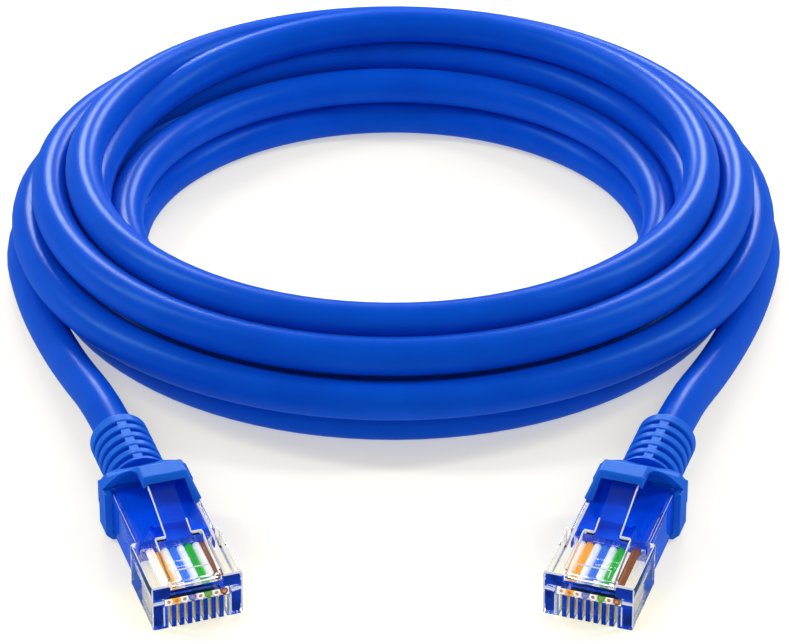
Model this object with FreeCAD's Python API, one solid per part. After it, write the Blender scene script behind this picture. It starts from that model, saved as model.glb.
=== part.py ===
"""Ethernet patch cable, 3 m, coiled, with an 8P8C plug and a ribbed boot at each end.

Frame: millimetres, +Z up. The origin is on the surface that the cable lies on, midway between
the two plugs. The plugs point towards -Y and a little towards each other, and the coil lies
behind them on +Y.

A plug is first built in its own frame: x across the plug, y backwards from the nose, z up from
the underside of the housing. place() then stands it in the row's frame.
"""
import FreeCAD, Part

import math
import os

V = FreeCAD.Vector

# ---------------------------------------------------------------- driving dimensions
CABLE_D = 5.3            # round Cat 5e jacket
JACKET_BORE = 4.2        # inside diameter of the jacket

# plug pose
NOSE_X = 24.2            # plug centre line at the nose, either side of the middle
NOSE_Y = -16.6           # nose of both plugs
PLUG_YAW = 19.4          # degrees: each nose points towards the other plug

# housing
HOUSING_W = 11.68        # 8P8C width at the nose
HOUSING_H = 6.5
HOUSING_L = 21.46
REAR_W = 10.4            # narrower stretch that the boot closes over
SHOULDER_Y = 9.6         # where the housing narrows
MOULD_Y = 9.3            # front of the inner mould, which closes over the wires
CHAMBER_Y = 10.0         # where its chamber opens up
JACKET_Y = 14.5          # front end of the jacket, inside the mould
CABLE_Z = 3.2            # height of the cable's centre line

# contacts and wires
PITCH = 1.02
CONTACT_T = 0.32
SLOT_W = 0.42
SLOT_L = 6.3
SLOT_H = 3.22
WIRE_D = 0.96
CORE_D = 0.5
WIRE_Z = 3.72
WIRE_Y = 0.55            # cut ends, just behind the nose
WIRE_COUNT = 8

# latch
HINGE_Y = 0.95
HINGE_Z = 6.05
HINGE_R = 0.55
HINGE_GAP = 0.1
LATCH_W = 6.2
LEVER_W = 3.3
RECESS_W = 6.8           # under the wide part of the latch
RECESS_STEP = 8.7        # where it narrows to clear the lever alone
RECESS_REAR_W = 4.3
RECESS_FLOOR = 5.15
RECESS_END = 12.4
SKIN = 0.35              # plastic between the recess and the mould

# boot
BOOT_W = 12.2
BOOT_WALL_BELOW = 1.0    # thickness of the boot under the housing
COLLAR_Y = 20.6          # front of the collar that closes over the housing's end
COLLAR_END = 23.6
COLLAR_TOP = 7.4
COLLAR_SHUT_X = 5.6      # the collar is thinner on the hood's closed side
COLLAR_BEVEL = 0.9
NECK_Y = 26.4
BOOT_END = 36.4
NECK_CORE_D = 6.5
RING_D = 7.9
GROOVE_COUNT = 5
GROOVE_PITCH = 1.87
GROOVE_W = 0.75
WEB_W = 1.2              # rib that bridges the grooves above and below
HOOD_FRONT = 15.8        # the hood covers the end of the latch's lever
HOOD_RIDGE = 18.5
HOOD_TOP = 11.4
HOOD_END = 24.0          # the hood slopes down to here behind its ridge
HOOD_EAVE_Z = 6.35       # lower edge of the slanted side and of the rear slope
HOOD_SPACE_END = 22.0
HOOD_OPEN_X = -2.2       # edge of the hood's flat top on its open side
HOOD_SHUT_X = 3.5        # and on its closed side
HOOD_FOOT_X = 5.4        # foot of the closed side's wall
HOOD_WALL = 1.05
ARCH_R = 5.4             # arched opening through the slanted side
ARCH_Y = 16.4
ARCH_Z = 5.8

# the plug rests on the edge of its nose and on the front edge of the collar
PLUG_PITCH = math.degrees(math.atan(BOOT_WALL_BELOW / COLLAR_Y))

# coil: radius and height of the cable's centre line in each place of the bundle's section,
# in the order that the cable takes them, from the outermost on the floor and round again
COIL_Y = NOSE_Y + 90.1   # centre of the coil
BUNDLE = [
    ("outer", 53.6, 2.65),
    ("foot", 48.3, 2.65),
    ("core", 47.5, 7.8),
    ("low_core", 43.5, 4.7),
    ("inner_foot", 38.5, 2.65),
    ("inner_mid", 38.8, 7.8),
    ("inner_top", 43.3, 10.5),
    ("crown", 44.3, 15.6),
    ("shoulder", 49.3, 13.3),
    ("side", 52.4, 8.4),
]
OUTLINE = ["inner_foot", "foot", "side", "shoulder", "crown", "inner_top", "inner_mid"]
LEAVE_ANGLE = 198.7      # where the left tail leaves the coil, degrees about its centre

# left tail, from the boot's end to the coil; the right one is its mirror image
TAIL_FIRST_RUN = 8.0     # straight out of the boot
TAIL_LAST_RUN = 10.5     # flat on the floor, in line with the coil's outermost turn
TAIL_MIDDLE_Z = 3.7
TAIL_BOW = 0.3           # how far the middle of the tail bows outwards


# ---------------------------------------------------------------- helpers
def box(x0, x1, y0, y1, z0, z1):
    return Part.makeBox(x1 - x0, y1 - y0, z1 - z0, V(x0, y0, z0))


def slab(half, y0, y1, z0, z1):
    """A box centred across the plug."""
    return box(-half, half, y0, y1, z0, z1)


def rod(start, end, diameter):
    return Part.makeCylinder(diameter / 2, (end - start).Length, start, end - start)


def prism(outline, direction):
    """Extrude a closed outline of points."""
    wire = Part.makePolygon(outline + [outline[0]])
    return Part.Face(wire).extrude(direction)


def side_prism(outline, half):
    """Extrude an outline of (y, z) pairs to both sides of the centre line."""
    return prism([V(-half, y, z) for y, z in outline], V(2 * half, 0, 0))


def front_prism(outline, y0, y1):
    """Extrude an outline of (x, z) pairs backwards."""
    return prism([V(x, y0, z) for x, z in outline], V(0, y1 - y0, 0))


def row_x(index):
    """Place across the plug of contact or wire 0 to 7."""
    return (index - (WIRE_COUNT - 1) / 2) * PITCH


def round_edges(shape, radius, keep):
    """Fillet the straight edges that keep(edge) picks."""
    edges = [e for e in shape.Edges if keep(e)]
    return shape.makeFillet(radius, edges)


def runs_along(edge, axis):
    first = edge.Vertexes[0].Point
    last = edge.Vertexes[-1].Point
    step = last - first
    if step.Length < 1e-6:
        return False
    return abs(abs(step.dot(axis)) / step.Length - 1) < 1e-6


def place(shape, side):
    """Stand a plug part in the row's frame: side is -1 for plug a and 1 for plug b."""
    moved = shape.copy()
    moved.rotate(V(0, 0, 0), V(1, 0, 0), PLUG_PITCH)
    moved.rotate(V(0, 0, 0), V(0, 0, 1), -side * PLUG_YAW)
    moved.translate(V(side * NOSE_X, NOSE_Y, 0))
    return moved


def save(name, shape):
    if not shape.isValid():
        raise ValueError(name + " is not a valid shape")
    shape.exportStep(os.path.join("parts", name + ".step"))


# ---------------------------------------------------------------- plug parts
def wire_path(index):
    """Centre line of one wire: the flat row, then two layers that enter the jacket."""
    x = row_x(index)
    layer = 0.62 if index % 2 == 0 else -0.62
    inner_x = (index // 2 - 1.5) * 0.98
    return [
        V(x, WIRE_Y, WIRE_Z),
        V(x, MOULD_Y + 0.2, WIRE_Z),
        V(x, 11.3, CABLE_Z + layer),
        V(inner_x, JACKET_Y, CABLE_Z + layer),
        V(inner_x, JACKET_Y + 3.0, CABLE_Z + layer),
    ]


def tube_along(points, diameter):
    """Straight rods with a ball at each joint."""
    shape = rod(points[0], points[1], diameter)
    for start, end in zip(points[1:], points[2:]):
        shape = shape.fuse(Part.makeSphere(diameter / 2, start))
        shape = shape.fuse(rod(start, end, diameter))
    return shape.removeSplitter()


def make_contact(index):
    """Thin blade with a stepped front and two teeth that reach the wire's core."""
    x = row_x(index) - CONTACT_T / 2
    top = SLOT_H - 0.04
    tip = WIRE_Z + 0.1
    outline = [
        (0.45, 0.55), (0.75, 0.25), (5.7, 0.25), (6.1, 0.6), (6.1, top - 0.5), (5.7, top),
        (5.0, top), (4.6, tip), (4.2, top), (2.9, top), (2.5, tip), (2.1, top),
        (0.75, top), (0.45, top - 0.3),
    ]
    return prism([V(x, y, z) for y, z in outline], V(CONTACT_T, 0, 0))


def make_housing():
    half = HOUSING_W / 2
    front = slab(half, 0, SHOULDER_Y, 0, HOUSING_H)
    front = round_edges(front, 0.35, lambda e: runs_along(e, V(0, 1, 0)))
    rear = slab(REAR_W / 2, SHOULDER_Y - 0.5, HOUSING_L, 0, HOUSING_H)
    rear = round_edges(rear, 0.5, lambda e: runs_along(e, V(0, 1, 0)))
    body = front.fuse(rear).removeSplitter()

    # recess under the latch, and the seat of its root
    body = body.cut(slab(RECESS_W / 2, HINGE_Y + 0.4, RECESS_STEP, RECESS_FLOOR, HOUSING_H + 1))
    body = body.cut(slab(RECESS_REAR_W / 2, RECESS_STEP - 1, RECESS_END, RECESS_FLOOR,
                         HOUSING_H + 1))
    seat_r = HINGE_R + HINGE_GAP
    seat_half = LATCH_W / 2 + HINGE_GAP
    seat = Part.makeCylinder(seat_r, 2 * seat_half, V(-seat_half, HINGE_Y, HINGE_Z), V(1, 0, 0))
    seat = seat.fuse(slab(seat_half, HINGE_Y - seat_r, HINGE_Y + seat_r, HINGE_Z, HOUSING_H + 1))
    body = body.cut(seat)

    # one slot per contact, open below and in front, and the flat channel of the wires
    for index in range(WIRE_COUNT):
        x = row_x(index)
        body = body.cut(box(x - SLOT_W / 2, x + SLOT_W / 2, -1, SLOT_L, -1, SLOT_H + 0.1))
    channel_half = WIRE_COUNT * PITCH / 2 + 0.05
    body = body.cut(slab(channel_half, WIRE_Y - 0.05, MOULD_Y + 0.5, WIRE_Z - 0.5, WIRE_Z + 0.5))
    return body.cut(make_chamber(HOUSING_L + 1))


def make_chamber(end_y):
    """Space for the inner mould: it keeps a skin of plastic under the latch's recess."""
    front = slab(4.7, MOULD_Y, CHAMBER_Y, 0.8, 4.6)
    rear = slab(4.5, CHAMBER_Y, end_y, 0.42, 5.98)
    recess = slab(RECESS_REAR_W / 2 + SKIN, CHAMBER_Y - 1, RECESS_END + SKIN,
                  RECESS_FLOOR - SKIN, HOUSING_H)
    return front.fuse(rear).removeSplitter().cut(recess)


def make_inner_mould(wires):
    mould = make_chamber(HOUSING_L).cut(Part.makeCompound(wires))
    return mould.cut(Part.makeCylinder(CABLE_D / 2, 30, V(0, JACKET_Y, CABLE_Z), V(0, 1, 0)))


def make_latch():
    """Root barrel, wide spring with the two locking shoulders, and the narrow lever."""
    root = Part.makeCylinder(HINGE_R, LATCH_W, V(-LATCH_W / 2, HINGE_Y, HINGE_Z), V(1, 0, 0))
    spring = side_prism([
        (HINGE_Y, HINGE_Z - HINGE_R), (HINGE_Y, HINGE_Z + HINGE_R), (8.0, 7.75),
        (8.0, 6.95), (3.0, 6.0),
    ], LATCH_W / 2)
    lever = side_prism([
        (7.0, 6.75), (7.0, 7.62), (8.0, 7.75), (16.2, 10.15), (16.45, 9.9), (16.45, 9.5),
        (8.0, 6.95),
    ], LEVER_W / 2)
    return root.fuse([spring, lever]).removeSplitter()


def make_jacket_end():
    length = BOOT_END - JACKET_Y
    start = V(0, JACKET_Y, CABLE_Z)
    outside = Part.makeCylinder(CABLE_D / 2, length, start, V(0, 1, 0))
    bore = Part.makeCylinder(JACKET_BORE / 2, length - 1.5, start, V(0, 1, 0))
    return outside.cut(bore)


def make_hood():
    """Outside of the cover over the end of the lever: a flat top, a wall down one side and a
    slanted face on the other."""
    half = BOOT_W / 2
    section = [
        (-half, 3), (-half, HOOD_EAVE_Z), (HOOD_OPEN_X, HOOD_TOP), (HOOD_SHUT_X, HOOD_TOP),
        (HOOD_FOOT_X, HOUSING_H), (HOOD_FOOT_X, 3),
    ]
    profile = [
        (HOOD_FRONT, HOUSING_H), (HOOD_FRONT, HOOD_TOP), (HOOD_RIDGE, HOOD_TOP),
        (HOOD_END, HOOD_EAVE_Z), (HOOD_END, 3), (COLLAR_Y, 3), (COLLAR_Y, HOUSING_H),
    ]
    outside = front_prism(section, 10, 30).common(side_prism(profile, 10))
    return round_edges(outside, 0.4, lambda e: e.BoundBox.ZMax > HOUSING_H + 0.6)


def make_hood_space():
    """Space under the hood, from the front back to the collar's top wall."""
    half = BOOT_W / 2
    ceiling = HOOD_TOP - HOOD_WALL
    section = [
        (-half + HOOD_WALL, 3), (-half + HOOD_WALL, HOOD_EAVE_Z - 0.35),
        (HOOD_OPEN_X + 0.45, ceiling), (HOOD_SHUT_X - 0.3, ceiling),
        (HOOD_FOOT_X - 1.2, HOUSING_H), (HOOD_FOOT_X - 1.2, 3),
    ]
    profile = [
        (10, HOUSING_H), (10, ceiling), (HOOD_RIDGE + 0.4, ceiling), (HOOD_SPACE_END, 7.5),
        (HOOD_SPACE_END, HOUSING_H),
    ]
    return front_prism(section, 10, 30).common(side_prism(profile, 10))


def make_arch():
    """Space of the arched opening, above the collar's low side."""
    reach = BOOT_W / 2 + HOOD_OPEN_X + 1
    start = V(HOOD_OPEN_X - reach, ARCH_Y, ARCH_Z)
    arch = Part.makeCylinder(ARCH_R, reach, start, V(1, 0, 0))
    return arch.common(slab(10, 10, 30, HOOD_EAVE_Z, HOOD_TOP + 1))


def collar_outline():
    """Outline of the collar, low on the side of the arch."""
    open_x = -BOOT_W / 2
    shut_x = COLLAR_SHUT_X
    z0 = -BOOT_WALL_BELOW
    z1 = COLLAR_TOP
    cut = COLLAR_BEVEL
    return [
        (open_x, z0 + cut), (open_x, HOOD_EAVE_Z), (open_x + cut, z1), (shut_x - cut, z1),
        (shut_x, z1 - cut), (shut_x, z0 + cut), (shut_x - cut, z0), (open_x + cut, z0),
    ]


def make_collar():
    """Collar round the housing's rear."""
    shape = front_prism(collar_outline(), COLLAR_Y, COLLAR_END)
    return round_edges(shape, 0.4, lambda e: runs_along(e, V(0, 1, 0)))


def make_taper():
    """Blend from the collar's outline down to the round neck."""
    corners = collar_outline()
    ring = []
    for x, z in corners:
        away = math.atan2(z - CABLE_Z, x)
        ring.append(V(RING_D / 2 * math.cos(away), NECK_Y, CABLE_Z + RING_D / 2 * math.sin(away)))
    big = Part.makePolygon([V(x, COLLAR_END, z) for x, z in corners + corners[:1]])
    small = Part.makePolygon(ring + ring[:1])
    return Part.makeLoft([big, small], True, True)


def make_neck():
    """Round neck with grooves that let it bend, bridged by a rib above and below."""
    length = BOOT_END - NECK_Y + 0.6
    neck = Part.makeCylinder(RING_D / 2, length, V(0, NECK_Y - 0.6, CABLE_Z), V(0, 1, 0))
    rear_lip = [e for e in neck.Edges if e.BoundBox.YMin > BOOT_END - 0.01]
    neck = neck.makeFillet(0.5, rear_lip)
    for index in range(GROOVE_COUNT):
        y = NECK_Y + index * GROOVE_PITCH
        outer = Part.makeCylinder(RING_D, GROOVE_W, V(0, y, CABLE_Z), V(0, 1, 0))
        inner = Part.makeCylinder(NECK_CORE_D / 2, GROOVE_W, V(0, y, CABLE_Z), V(0, 1, 0))
        neck = neck.cut(outer.cut(inner))
    edges = [e for e in neck.Edges
             if e.BoundBox.XLength > RING_D - 0.01 and e.BoundBox.YLength < 0.01
             and NECK_Y - 0.5 < e.BoundBox.YMin < BOOT_END - 0.6]
    neck = neck.makeFillet(0.22, edges)
    reach = RING_D / 2 - 0.12
    web = slab(WEB_W / 2, NECK_Y - 0.5, BOOT_END - 1, CABLE_Z - reach, CABLE_Z + reach)
    return neck.fuse(web).removeSplitter()


def make_boot():
    shape = make_collar().fuse([make_hood(), make_taper(), make_neck()]).removeSplitter()
    shape = shape.cut(make_hood_space()).cut(make_arch())
    shape = shape.cut(slab(REAR_W / 2, 10, HOUSING_L, 0, HOUSING_H))
    bore = Part.makeCylinder(CABLE_D / 2, 40, V(0, 10, CABLE_Z), V(0, 1, 0))
    return shape.cut(bore)


def build_plug():
    """All parts of one plug in the plug's own frame, by name."""
    paths = [wire_path(index) for index in range(WIRE_COUNT)]
    contacts = [make_contact(index) for index in range(WIRE_COUNT)]
    full_wires = [tube_along(path, WIRE_D) for path in paths]
    cores = [tube_along(path, CORE_D) for path in paths]
    parts = {}
    for index in range(WIRE_COUNT):
        number = str(index + 1)
        parts["contact_" + number] = contacts[index]
        parts["wire_" + number] = full_wires[index].cut(cores[index]).cut(contacts[index])
        cores[index] = cores[index].cut(contacts[index])
    parts["copper_cores"] = Part.makeCompound(cores)
    parts["jacket_end"] = make_jacket_end()
    parts["inner_mould"] = make_inner_mould(full_wires)
    parts["housing"] = make_housing()
    parts["latch"] = make_latch()
    parts["boot"] = make_boot()
    return parts


# ---------------------------------------------------------------- cable
def bundle_face(names):
    """Section of the bundle in the XZ plane: a disc for each outer turn, filled between."""
    seat = {name: (radius, height) for name, radius, height in BUNDLE}
    corners = [V(seat[name][0], 0, seat[name][1]) for name in names]
    face = Part.Face(Part.makePolygon(corners + [corners[0]]))
    for corner in corners:
        circle = Part.makeCircle(CABLE_D / 2, corner, V(0, 1, 0))
        face = face.fuse(Part.Face(Part.Wire(circle)))
    inner_r = seat["inner_foot"][0]
    foot_r = seat["foot"][0]
    height = seat["foot"][1]
    base = Part.makePlane(foot_r - inner_r, height, V(inner_r, 0, 0), V(0, -1, 0), V(1, 0, 0))
    face = face.fuse(base)
    return face.removeSplitter()


def revolve_bundle(names, start_angle, sweep):
    solids = []
    for face in bundle_face(names).Faces:
        turned = face.copy()
        turned.rotate(V(0, 0, 0), V(0, 0, 1), start_angle)
        solids.append(turned.revolve(V(0, 0, 0), V(0, 0, 1), sweep))
    shape = solids[0]
    for other in solids[1:]:
        shape = shape.fuse(other)
    return shape


def make_coil():
    """The wound turns as one solid: the outermost turn runs only round the back."""
    with_outer = ["inner_foot", "foot", "outer", "side", "shoulder", "crown", "inner_top",
                  "inner_mid"]
    back_start = 180 - LEAVE_ANGLE
    back_sweep = 2 * LEAVE_ANGLE - 180
    back = revolve_bundle(with_outer, back_start, back_sweep)
    front = revolve_bundle(OUTLINE, LEAVE_ANGLE, 360 - back_sweep)
    coil = back.fuse(front).removeSplitter()
    coil.translate(V(0, COIL_Y, 0))
    return coil


def tail_points():
    """Route of the left tail, from the boot's end to the start of the coil."""
    start = place(Part.Vertex(V(0, BOOT_END, CABLE_Z)), -1).Point
    second = place(Part.Vertex(V(0, BOOT_END + TAIL_FIRST_RUN, CABLE_Z)), -1).Point
    angle = math.radians(LEAVE_ANGLE)
    radius, height = BUNDLE[0][1:]
    end = V(radius * math.cos(angle), COIL_Y + radius * math.sin(angle), height)
    tangent = V(math.sin(angle), -math.cos(angle), 0)
    fourth = end - tangent * TAIL_LAST_RUN
    third = (second + fourth) * 0.5 - V(TAIL_BOW, 0, 0)
    third.z = TAIL_MIDDLE_Z
    return [start, second, third, fourth, end]


def route_wire(points):
    """Straight runs joined by tangent arcs, each as large as its two runs allow."""
    edges = []
    start = points[0]
    for before, corner, after in zip(points, points[1:], points[2:]):
        into = corner - before
        out = after - corner
        turn = into.getAngle(out)
        set_back = 0.45 * min(into.Length, out.Length)
        radius = set_back / math.tan(turn / 2)
        into.normalize()
        out.normalize()
        arc_start = corner - into * set_back
        arc_end = corner + out * set_back
        inward = out - into
        inward.normalize()
        middle = corner + inward * (radius / math.cos(turn / 2) - radius)
        edges.append(Part.LineSegment(start, arc_start).toShape())
        edges.append(Part.Arc(arc_start, middle, arc_end).toShape())
        print("tail turn %.1f degrees, radius %.0f mm" % (math.degrees(turn), radius))
        start = arc_end
    edges.append(Part.LineSegment(start, points[-1]).toShape())
    return Part.Wire(edges)


def make_tail(points):
    path = route_wire(points)
    circle = Part.makeCircle(CABLE_D / 2, points[0], points[1] - points[0])
    tube = path.makePipeShell([Part.Wire(circle)], True, False)
    section = math.pi * CABLE_D ** 2 / 4
    print("tail length %.1f mm, volume over section x length %.4f"
          % (path.Length, tube.Volume / (section * path.Length)))
    return tube


# ---------------------------------------------------------------- build
def main():
    os.makedirs("parts", exist_ok=True)
    plug = build_plug()
    for letter, side in (("a", -1), ("b", 1)):
        for name, shape in plug.items():
            if name == "boot" and side == 1:
                shape = shape.mirror(V(0, 0, 0), V(1, 0, 0))
            save(name + "_" + letter, place(shape, side))
    save("cable_coil", make_coil())
    left_tail = make_tail(tail_points())
    save("cable_tail_a", left_tail)
    save("cable_tail_b", left_tail.mirror(V(0, 0, 0), V(1, 0, 0)))
    span = Part.makeCompound([place(s, side) for s in plug.values() for side in (-1, 1)]).BoundBox
    for point in tail_points():
        print("tail point %.2f %.2f %.2f" % (point.x, point.y, point.z))
    print("plugs span y %.2f to %.2f, z from %.3f" % (span.YMin, span.YMax, span.ZMin))


main()
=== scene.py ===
import math

import bpy
from mathutils import Matrix, Vector


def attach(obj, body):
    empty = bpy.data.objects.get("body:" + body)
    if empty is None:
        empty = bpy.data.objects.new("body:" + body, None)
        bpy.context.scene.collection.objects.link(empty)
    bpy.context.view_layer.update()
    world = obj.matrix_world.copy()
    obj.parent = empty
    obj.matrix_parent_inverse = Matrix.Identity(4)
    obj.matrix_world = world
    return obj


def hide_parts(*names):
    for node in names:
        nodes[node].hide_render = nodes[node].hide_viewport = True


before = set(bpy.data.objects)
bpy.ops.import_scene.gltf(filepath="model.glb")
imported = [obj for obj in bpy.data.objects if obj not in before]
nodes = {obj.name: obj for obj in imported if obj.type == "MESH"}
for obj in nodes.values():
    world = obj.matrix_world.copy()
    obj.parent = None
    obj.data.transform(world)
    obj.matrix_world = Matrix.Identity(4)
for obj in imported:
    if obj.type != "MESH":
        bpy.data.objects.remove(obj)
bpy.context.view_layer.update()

scene = bpy.context.scene

# ---------------------------------------------------------------- dimensions, metres
CABLE_D = 0.0053
COIL_CENTRE = Vector((0.0, 0.0735, 0.0))

# places of the cable in the coil's section: radius and height of its centre line
SEATS = {
    "outer": (0.0536, 0.00265),
    "foot": (0.0483, 0.00265),
    "core": (0.0475, 0.0078),
    "low_core": (0.0435, 0.0047),
    "inner_foot": (0.0385, 0.00265),
    "inner_mid": (0.0388, 0.0078),
    "inner_top": (0.0433, 0.0105),
    "crown": (0.0443, 0.0156),
    "shoulder": (0.0493, 0.0133),
    "side": (0.0524, 0.0084),
}
# the cable's way through them: the turn, the degrees in it and the place that it moves to
MOVES = [
    (0, 63.7, "foot"),
    (1, 63.7, "low_core"),
    (1, 288.7, "inner_foot"),
    (2, 288.7, "inner_mid"),
    (3, 288.7, "low_core"),
    (4, 63.7, "core"),
    (5, 63.7, "inner_top"),
    (6, 63.7, "crown"),
    (7, 63.7, "shoulder"),
    (8, 63.7, "side"),
    (9, 63.7, "outer"),
]
MOVE_WIDTH = 112.0           # degrees over which the cable moves to its next place
LEAVE_ANGLE = 198.7          # where the left tail meets the coil, degrees about its centre
COIL_SWEEP = 3457.4          # degrees from the left tail round to the right one
POINTS_PER_TURN = 24

# route of the left tail, from the boot's end to the coil
LEFT_TAIL = [
    (-0.03622, 0.01755, 0.00496),
    (-0.03888, 0.02508, 0.00535),
    (-0.04344, 0.03573, 0.00370),
    (-0.04740, 0.04637, 0.00265),
    (-0.05077, 0.05632, 0.00265),
]


# ---------------------------------------------------------------- node helpers
def srgb(red, green, blue):
    """Linear colour from 8-bit display values."""
    out = []
    for value in (red, green, blue):
        value /= 255
        out.append(value / 12.92 if value <= 0.04045 else ((value + 0.055) / 1.055) ** 2.4)
    return (*out, 1.0)


def new_material(name):
    material = bpy.data.materials.new(name)
    material.use_nodes = True
    tree = material.node_tree
    return material, tree, tree.nodes["Principled BSDF"]


def link(tree, source, target):
    tree.links.new(source, target)


def noise_of(tree, scale, detail=2.0, roughness=0.5, stretch=(1, 1, 1)):
    """Noise in object coordinates, which on these pieces are metres in the row's frame."""
    coordinates = tree.nodes.new("ShaderNodeTexCoord")
    mapping = tree.nodes.new("ShaderNodeMapping")
    mapping.inputs["Scale"].default_value = stretch
    noise = tree.nodes.new("ShaderNodeTexNoise")
    noise.inputs["Scale"].default_value = scale
    noise.inputs["Detail"].default_value = detail
    noise.inputs["Roughness"].default_value = roughness
    link(tree, coordinates.outputs["Object"], mapping.inputs["Vector"])
    link(tree, mapping.outputs["Vector"], noise.inputs["Vector"])
    return noise.outputs["Fac"]


def ramp_of(tree, factor, stops):
    """Colour ramp over a factor: stops are (position, colour)."""
    ramp = tree.nodes.new("ShaderNodeValToRGB")
    elements = ramp.color_ramp.elements
    while len(elements) < len(stops):
        elements.new(0.5)
    for element, (position, colour) in zip(elements, stops):
        element.position = position
        element.color = colour
    link(tree, factor, ramp.inputs["Fac"])
    return ramp.outputs["Color"]


def range_of(tree, factor, low, high):
    """Spread a 0 to 1 factor over low to high."""
    spread = tree.nodes.new("ShaderNodeMapRange")
    spread.inputs["To Min"].default_value = low
    spread.inputs["To Max"].default_value = high
    link(tree, factor, spread.inputs["Value"])
    return spread.outputs["Result"]


def bump_on(tree, shader, factor, height, strength=1.0):
    bump = tree.nodes.new("ShaderNodeBump")
    bump.inputs["Strength"].default_value = strength
    bump.inputs["Distance"].default_value = height
    link(tree, factor, bump.inputs["Height"])
    link(tree, bump.outputs["Normal"], shader.inputs["Normal"])


# ---------------------------------------------------------------- materials
NEUTRAL = (1.0, 1.0, 1.0, 1.0)
WARM = (1.0, 0.85, 0.5, 1.0)         # tint of those on clear plastic and what it holds
SKY_BLUE = (0.2, 0.75, 1.0, 1.0)     # tint of the highlights on blue plastic


def moulded_plastic(name, colour, darker, roughness, specular=0.4, grain=2200,
                    relief=0.000012, highlight=NEUTRAL, glow=0.0, mottling=160):
    """Plastic or soft PVC with faint mottling, uneven gloss and a fine grain. A little glow
    stands in for the light that clear plastic gathers onto what it holds."""
    material, tree, shader = new_material(name)
    mottle = noise_of(tree, mottling, detail=3)
    link(tree, ramp_of(tree, mottle, [(0.3, darker), (0.7, colour)]),
         shader.inputs["Base Color"])
    shader.inputs["Emission Color"].default_value = colour
    shader.inputs["Emission Strength"].default_value = glow
    gloss = noise_of(tree, 700, detail=2)
    link(tree, range_of(tree, gloss, roughness * 0.85, roughness * 1.2),
         shader.inputs["Roughness"])
    shader.inputs["Specular IOR Level"].default_value = specular
    shader.inputs["Specular Tint"].default_value = highlight
    bump_on(tree, shader, noise_of(tree, grain, detail=2), relief)
    return material


def clear_plastic(name):
    """Clear polycarbonate with faint flow marks, which lets the lamps light what it holds."""
    material, tree, shader = new_material(name)
    shader.inputs["Base Color"].default_value = (1.0, 1.0, 1.0, 1.0)
    shader.inputs["Transmission Weight"].default_value = 1.0
    shader.inputs["IOR"].default_value = 1.45
    shader.inputs["Specular Tint"].default_value = WARM
    rays = tree.nodes.new("ShaderNodeLightPath")
    inward = tree.nodes.new("ShaderNodeMath")
    inward.operation = "MAXIMUM"
    link(tree, rays.outputs["Is Shadow Ray"], inward.inputs[0])
    link(tree, rays.outputs["Is Diffuse Ray"], inward.inputs[1])
    link(tree, range_of(tree, inward.outputs["Value"], 1.0, 0.1), shader.inputs["Alpha"])
    link(tree, range_of(tree, noise_of(tree, 900), 0.0, 0.03), shader.inputs["Roughness"])
    bump_on(tree, shader, noise_of(tree, 500, detail=3), 0.000004)
    return material


def edge_highlight_material(name):
    """Painted highlight: near-white, nearly opaque plastic laid along the plugs' edges, standing
    for the white light that the clear plastic's edges catch.
    """
    material, tree, shader = new_material(name)
    highlight_variation = noise_of(tree, 1200, detail=3)
    link(tree, ramp_of(tree, highlight_variation, [(0.3, srgb(232, 240, 250)), (0.7, srgb(252, 254, 255))]),
         shader.inputs["Base Color"])
    shader.inputs["Roughness"].default_value = 0.35
    shader.inputs["Alpha"].default_value = 0.85
    bump_on(tree, shader, noise_of(tree, 3000), 0.00001)
    return material


def metal(name, colour, darker, roughness):
    material, tree, shader = new_material(name)
    shader.inputs["Metallic"].default_value = 0.6
    wear = noise_of(tree, 1500, detail=3)
    link(tree, ramp_of(tree, wear, [(0.35, darker), (0.65, colour)]),
         shader.inputs["Base Color"])
    link(tree, range_of(tree, wear, roughness * 1.3, roughness * 0.8),
         shader.inputs["Roughness"])
    bump_on(tree, shader, noise_of(tree, 6000), 0.000004)
    return material


jacket = moulded_plastic("jacket", srgb(5, 82, 212), srgb(3, 76, 204), 0.3, specular=0.16,
                         grain=1500, relief=0.000008, highlight=SKY_BLUE)
boot = moulded_plastic("boot", srgb(8, 99, 224), srgb(5, 90, 214), 0.42, specular=0.55,
                       relief=0.000015, highlight=SKY_BLUE)
inner_mould = moulded_plastic("inner_mould", srgb(0, 88, 252), srgb(0, 76, 245), 0.3,
                              specular=0.2, highlight=SKY_BLUE, glow=0.03)
# painted view of the mould, for opaque panes in the nose's clear corner blocks
painted_mould_view = moulded_plastic("painted_view_of_mould", srgb(8, 66, 206), srgb(0, 24, 128), 0.5,
                             specular=0.05, highlight=SKY_BLUE, mottling=520)
clear = clear_plastic("clear_plastic")
# painted highlight laid along the plugs' edges
painted_highlight = edge_highlight_material("painted_edge_highlight")
gold = metal("gold_contact", srgb(255, 238, 196), srgb(250, 220, 156), 0.28)
copper = metal("copper", srgb(238, 160, 112), srgb(206, 122, 78), 0.3)

WIRE_COLOURS = {
    1: ("wire_white_orange", (255, 250, 240), (250, 238, 222)),
    2: ("wire_orange", (252, 170, 0), (240, 150, 0)),
    3: ("wire_white_green", (250, 250, 246), (236, 242, 234)),
    4: ("wire_blue", (52, 116, 226), (40, 98, 208)),
    5: ("wire_white_blue", (250, 251, 254), (234, 238, 247)),
    6: ("wire_green", (6, 178, 22), (4, 160, 16)),
    7: ("wire_white_brown", (252, 248, 242), (240, 232, 222)),
    8: ("wire_brown", (136, 72, 0), (112, 54, 0)),
}
wire_materials = {
    number: moulded_plastic(name, srgb(*light), srgb(*dark), 0.35, specular=0.1,
                            highlight=WARM, glow=0.3)
    for number, (name, light, dark) in WIRE_COLOURS.items()
}


def give(node_name, material):
    node = nodes[node_name]
    if not node.material_slots:
        node.data.materials.append(material)
    for slot in node.material_slots:
        slot.material = material


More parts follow.
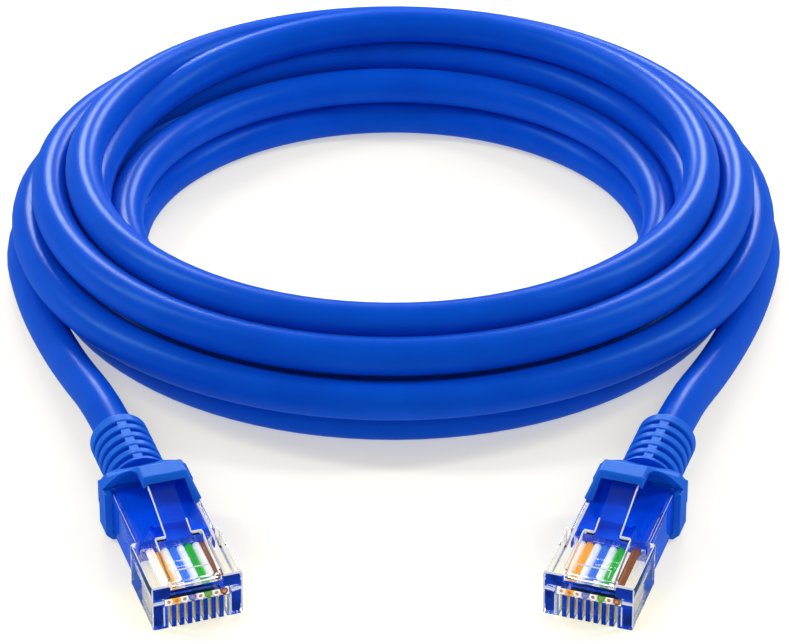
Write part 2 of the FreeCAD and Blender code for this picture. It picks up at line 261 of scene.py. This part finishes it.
for letter in "ab":
    give("housing_" + letter, clear)
    give("latch_" + letter, clear)
    give("boot_" + letter, boot)
    give("inner_mould_" + letter, inner_mould)
    give("jacket_end_" + letter, jacket)
    give("copper_cores_" + letter, copper)
    for number in range(1, 9):
        give("contact_%d_%s" % (number, letter), gold)
        give("wire_%d_%s" % (number, letter), wire_materials[number])


# ---------------------------------------------------------------- the cord
def smooth(value):
    value = min(max(value, 0.0), 1.0)
    return value * value * (3 - 2 * value)


def seat_after(turned):
    """Radius and height of the cable after that many degrees of coil."""
    radius, height = SEATS["outer"]
    for turn, degrees, name in MOVES:
        share = smooth((turned - 360 * turn - degrees) / MOVE_WIDTH + 0.5)
        radius += share * (SEATS[name][0] - radius)
        height += share * (SEATS[name][1] - height)
    return radius, height


def coil_points():
    """Control points of the coil. They stand a little outside the turns, because the spline
    passes inside its corners."""
    count = round(COIL_SWEEP / 360 * POINTS_PER_TURN)
    step = COIL_SWEEP / count
    cut_in = 0.75 + 0.25 * math.cos(math.radians(step))
    points = []
    for index in range(1, count):
        turned = step * index
        radius, height = seat_after(turned)
        angle = math.radians(LEAVE_ANGLE - turned)
        out = Vector((math.cos(angle), math.sin(angle), 0)) * (radius / cut_in)
        points.append(COIL_CENTRE + out + Vector((0, 0, height)))
    return points


def make_cord():
    left = [Vector(point) for point in LEFT_TAIL]
    right = [Vector((-x, y, z)) for x, y, z in reversed(LEFT_TAIL)]
    points = left + coil_points() + right
    curve = bpy.data.curves.new("patch_cable", "CURVE")
    curve.dimensions = "3D"
    spline = curve.splines.new("NURBS")
    spline.points.add(len(points) - 1)
    for target, point in zip(spline.points, points):
        target.co = (*point, 1.0)
    spline.order_u = 3
    spline.use_endpoint_u = True
    spline.resolution_u = 4
    curve.bevel_depth = CABLE_D / 2
    curve.bevel_resolution = 8
    curve.use_fill_caps = True
    cord = bpy.data.objects.new("patch_cable", curve)
    scene.collection.objects.link(cord)
    curve.materials.append(jacket)
    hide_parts("cable_tail_a", "cable_coil", "cable_tail_b")
    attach(cord, "root")


make_cord()


# ---------------------------------------------------------------- painted highlights along the plugs' edges, and a painted view of the mould
# Places below are millimetres in a plug's own frame, as in the CAD.
PLUG_PITCH = math.atan(1.0 / 20.6)
PLUG_YAW = 19.4
PLUG_NOSE = (0.0242, -0.0166, 0.0)
HALF_FRONT = 5.84            # half width of the housing's front block and of its rear
HALF_REAR = 5.2
STEP_Y = 9.6
TOP_Z = 6.5
COMB_X = 4.3                 # outside the row of contacts
LEDGE_Y = 8.0                # the latch's locking shoulders
LEDGE_Z = 7.72
HALF_LATCH = 3.1
HALF_LEVER = 1.65
LEVER_END = (16.1, 10.12)
HALF_WEB = 2.2               # the thin web at the latch's root, with its rear rim and its front
WEB_REAR = (2.3, 6.84)
WEB_FRONT = (0.95, 6.62)
PANE_Y = 0.3                 # behind the nose's face
NOSE_BEAD_Y = 0.12


def plug_to_row(side):
    """From a plug's own frame to the row's, in metres: side is -1 for plug a, 1 for plug b."""
    place = Matrix.Translation((side * PLUG_NOSE[0], PLUG_NOSE[1], PLUG_NOSE[2]))
    turn = Matrix.Rotation(math.radians(-side * PLUG_YAW), 4, "Z")
    tilt = Matrix.Rotation(PLUG_PITCH, 4, "X")
    return place @ turn @ tilt @ Matrix.Scale(0.001, 4)


def loft(rings):
    """Vertices and faces of a closed skin over rings of equal length."""
    sides = len(rings[0])
    vertices = [vertex for ring in rings for vertex in ring]
    faces = []
    for ring in range(len(rings) - 1):
        for corner in range(sides):
            low = ring * sides + corner
            after = ring * sides + (corner + 1) % sides
            faces.append((low, after, after + sides, low + sides))
    faces.append(tuple(reversed(range(sides))))
    faces.append(tuple(range(len(vertices) - sides, len(vertices))))
    return vertices, faces


def bead(start, end, radius, sides=8):
    """Thin bead that tapers to both its ends."""
    start = Vector(start)
    along = Vector(end) - start
    across = along.orthogonal().normalized()
    other = along.cross(across).normalized()
    rings = []
    for share, width in ((0.0, 0.35), (0.03, 0.8), (0.08, 1.0), (0.92, 1.0), (0.97, 0.8),
                         (1.0, 0.35)):
        angles = [2 * math.pi * corner / sides for corner in range(sides)]
        rings.append([start + along * share
                      + (across * math.cos(angle) + other * math.sin(angle)) * radius * width
                      for angle in angles])
    return loft(rings)


def pane(x0, x1, z0, z1, y, thickness=0.16, corner=0.25):
    """Thin upright pane with cut corners and a softened rim."""
    rings = []
    for depth, inset in ((0.0, 0.05), (0.3, 0.0), (0.7, 0.0), (1.0, 0.05)):
        left, right = x0 + inset, x1 - inset
        low, high = z0 + inset, z1 - inset
        outline = [
            (left + corner, low), (right - corner, low), (right, low + corner),
            (right, high - corner), (right - corner, high), (left + corner, high),
            (left, high - corner), (left, low + corner),
        ]
        rings.append([Vector((x, y + depth * thickness, z)) for x, z in outline])
    return loft(rings)


def make_piece(name, body, side, skins, material, smooth_faces):
    """One piece from skins in a plug's own frame."""
    vertices = []
    faces = []
    for new_vertices, new_faces in skins:
        faces += [tuple(index + len(vertices) for index in face) for face in new_faces]
        vertices += new_vertices
    to_row = plug_to_row(side)
    mesh = bpy.data.meshes.new(name)
    mesh.from_pydata([to_row @ vertex for vertex in vertices], [], faces)
    mesh.polygons.foreach_set("use_smooth", [smooth_faces] * len(mesh.polygons))
    mesh.materials.append(material)
    mesh.update()
    piece = bpy.data.objects.new(name, mesh)
    scene.collection.objects.link(piece)
    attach(piece, body)


def housing_highlight_beads():
    # painted highlights along the housing's edges
    skins = []
    top = TOP_Z - 0.1
    for way in (-1, 1):
        edge = way * (HALF_FRONT - 0.1)
        rear = way * (HALF_REAR - 0.12)
        comb = way * COMB_X
        skins += [
            bead((edge, 0.3, top), (edge, STEP_Y - 0.1, top), 0.07),
            bead((edge, NOSE_BEAD_Y, 0.3), (edge, NOSE_BEAD_Y, top), 0.09),
            bead((comb, NOSE_BEAD_Y, 0.25), (comb, NOSE_BEAD_Y, 3.3), 0.1),
            bead((edge, 0.18, top), (way * (HALF_LATCH + 0.3), 0.18, top), 0.16),
            bead((edge, 0.14, 4.0), (comb, 0.14, 4.0), 0.24),
            bead((edge, 0.5, 0.35), (edge, STEP_Y - 0.3, 0.35), 0.06),
            bead((edge, 0.5, 4.9), (edge, STEP_Y - 0.3, 5.6), 0.05),
            bead((edge, STEP_Y - 0.05, 0.5), (edge, STEP_Y - 0.05, top), 0.05),
            bead((rear, STEP_Y + 0.2, top), (rear, 20.2, top), 0.035),
        ]
    return skins


def painted_mould_panes():
    """Painted view of the mould: opaque panes in the inner mould's blue, mottled darker, put
    where the clear corner blocks of the nose show the mould from in front.
    """
    skins = []
    outer = HALF_FRONT - 0.25
    skins.append(pane(-outer, -HALF_LATCH - 0.3, 4.5, TOP_Z - 0.3, PANE_Y))
    skins.append(pane(HALF_LATCH + 0.3, outer, 4.5, TOP_Z - 0.3, PANE_Y))
    skins.append(pane(-outer, -COMB_X - 0.15, 0.35, 3.5, PANE_Y))
    skins.append(pane(COMB_X + 0.15, outer, 0.35, 3.5, PANE_Y))
    return skins


def latch_highlight_beads(side):
    """Painted highlights along the latch's edges. The lever's bead is long on the side of the
    boot's arch and short on the other.
    """
    skins = []
    for way in (-1, 1):
        outer = way * (HALF_LATCH - 0.05)
        inner = way * HALF_LEVER
        reach = 1.0 if way == side else 0.28
        lever_end = (inner, LEDGE_Y + reach * (LEVER_END[0] - LEDGE_Y),
                     LEDGE_Z + reach * (LEVER_END[1] - LEDGE_Z))
        skins += [
            bead((outer, LEDGE_Y, LEDGE_Z), (inner, LEDGE_Y, LEDGE_Z), 0.2),
            bead((outer, LEDGE_Y, LEDGE_Z), (outer, LEDGE_Y - 2.2, LEDGE_Z - 0.38), 0.1),
            bead((inner, LEDGE_Y, LEDGE_Z), lever_end, 0.1),
            bead((way * HALF_WEB, *WEB_REAR), (way * HALF_WEB, *WEB_FRONT), 0.06),
        ]
    skins.append(bead((-HALF_WEB, *WEB_REAR), (HALF_WEB, *WEB_REAR), 0.09))
    return skins


for plug_letter, plug_side in (("a", -1), ("b", 1)):
    # painted highlights along the housing's and latch's edges
    make_piece("housing_edge_highlights_" + plug_letter, "root", plug_side, housing_highlight_beads(), painted_highlight,
               True)
    # painted view of the mould in the nose's clear corner blocks
    make_piece("painted_mould_panes_" + plug_letter, "root", plug_side, painted_mould_panes(), painted_mould_view,
               False)
    make_piece("latch_edge_highlights_" + plug_letter, "latch_" + plug_letter, plug_side,
               latch_highlight_beads(plug_side), painted_highlight, True)


# ---------------------------------------------------------------- floor, light, camera
CAMERA_PLACE = (0.0002, -0.3666, 0.2572)
CAMERA_DOWN = 31.395         # degrees that it looks down
CAMERA_LENS = 158.97


def make_floor():
    """White sweep with an even glow, and a painted warm tint where the cable shades it, driven by
    ambient occlusion.
    """
    bpy.ops.mesh.primitive_plane_add(size=6.0, location=(0, 0, 0))
    floor = bpy.context.object
    floor.name = "floor"
    material, tree, shader = new_material("floor")
    shade = tree.nodes.new("ShaderNodeAmbientOcclusion")
    shade.inputs["Distance"].default_value = 0.05
    shade.samples = 8
    # painted warm tint in the cable's shade, from ambient occlusion
    link(tree, ramp_of(tree, shade.outputs["AO"],
                       [(0.35, srgb(230, 220, 184)), (1.0, srgb(216, 217, 216))]),
         shader.inputs["Base Color"])
    shader.inputs["Emission Color"].default_value = (1.0, 0.99, 0.95, 1.0)
    shader.inputs["Emission Strength"].default_value = 0.46
    shader.inputs["Roughness"].default_value = 0.9
    shader.inputs["Specular IOR Level"].default_value = 0.0
    floor.data.materials.append(material)
    floor.visible_glossy = False


def area_light(name, position, target, size, power):
    data = bpy.data.lights.new(name, "AREA")
    data.shape = "RECTANGLE"
    data.size, data.size_y = size
    data.energy = power
    light = bpy.data.objects.new(name, data)
    light.location = position
    light.rotation_euler = (Vector(target) - Vector(position)).to_track_quat("-Z", "Y").to_euler()
    light.visible_camera = False
    scene.collection.objects.link(light)


def make_world():
    """White surroundings, which the gloss of the plastics meets as dim blue."""
    world = bpy.data.worlds.new("studio")
    world.use_nodes = True
    tree = world.node_tree
    background = tree.nodes["Background"]
    background.inputs["Strength"].default_value = 0.5
    rays = tree.nodes.new("ShaderNodeLightPath")
    link(tree, ramp_of(tree, rays.outputs["Is Glossy Ray"],
                       [(0.0, (1.0, 1.0, 0.99, 1.0)), (1.0, (0.25, 0.5, 1.0, 1.0))]),
         background.inputs["Color"])
    scene.world = world


def make_camera():
    data = bpy.data.cameras.new("camera")
    data.sensor_width = 36.0
    data.sensor_fit = "HORIZONTAL"
    data.lens = CAMERA_LENS
    data.clip_start = 0.01
    data.clip_end = 50
    camera = bpy.data.objects.new("camera", data)
    camera.location = CAMERA_PLACE
    camera.rotation_euler = (math.radians(90 - CAMERA_DOWN), 0, 0)
    scene.collection.objects.link(camera)
    scene.camera = camera


make_floor()
make_world()
for way, word in ((-1, "left"), (1, "right")):
    area_light("top_" + word, (way * 0.55, 0.15, 0.5), COIL_CENTRE, (0.12, 0.4), 1.9)
    area_light("back_" + word, (way * 0.10, 0.40, 0.20), COIL_CENTRE, (0.09, 0.12), 0.5)
make_camera()
scene.view_settings.view_transform = "Standard"
scene.view_settings.look = "None"
